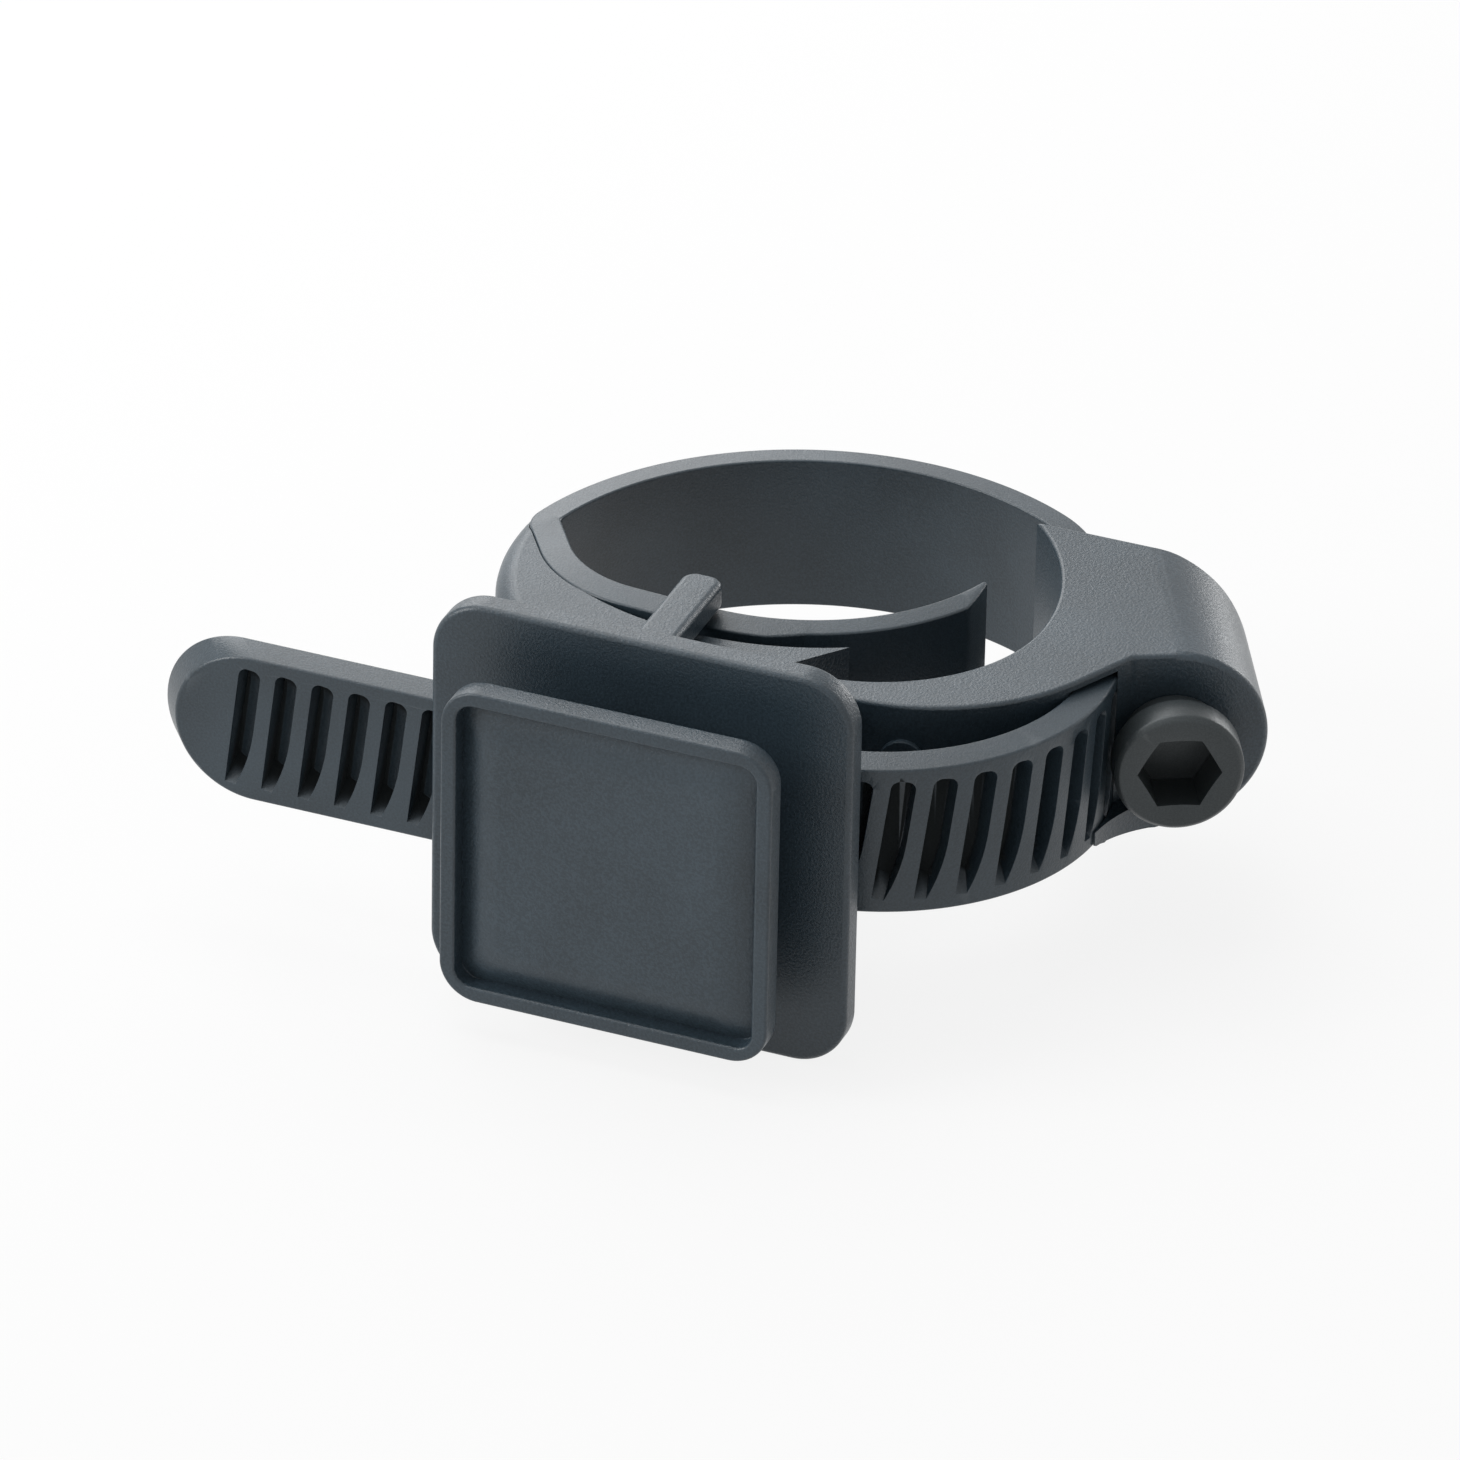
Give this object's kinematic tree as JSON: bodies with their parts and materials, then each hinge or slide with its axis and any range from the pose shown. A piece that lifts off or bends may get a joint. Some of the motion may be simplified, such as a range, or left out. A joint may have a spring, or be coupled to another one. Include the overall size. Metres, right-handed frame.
{
  "type": "handlebar bag mount",
  "caption": "Worm-screw strap clamp for a handlebar with a square clip plate in front that a bag slides onto; slotted plastic strap with a free tail.",
  "frame": {"origin": "centre of the strap's loop, half way up the strap's width", "axes": "+Z along the handlebar's axis, -Y towards the bag, +X towards the screw housing"},
  "size_m": [0.0692, 0.051, 0.0292],
  "materials": {
    "body_plastic": "dark charcoal moulded nylon with a fine satin grain",
    "strap_plastic": "dark charcoal moulded nylon, slightly smoother than the body",
    "black_steel": "black finished steel, satin",
    "spring_steel": "plain spring steel"
  },
  "bodies": {
    "frame": {"mount_body": "body_plastic", "clamp_strap": "strap_plastic"},
    "screw": {"worm_screw": "black_steel", "retaining_clip": "spring_steel"}
  },
  "joints": [
    {"name": "worm_screw_spin", "type": "hinge", "parent": "frame", "child": "screw", "pos_m": [0.0209, 0.01088, 0], "axis": [-0.4617, 0.887, 0], "continuous": true}
  ]
}
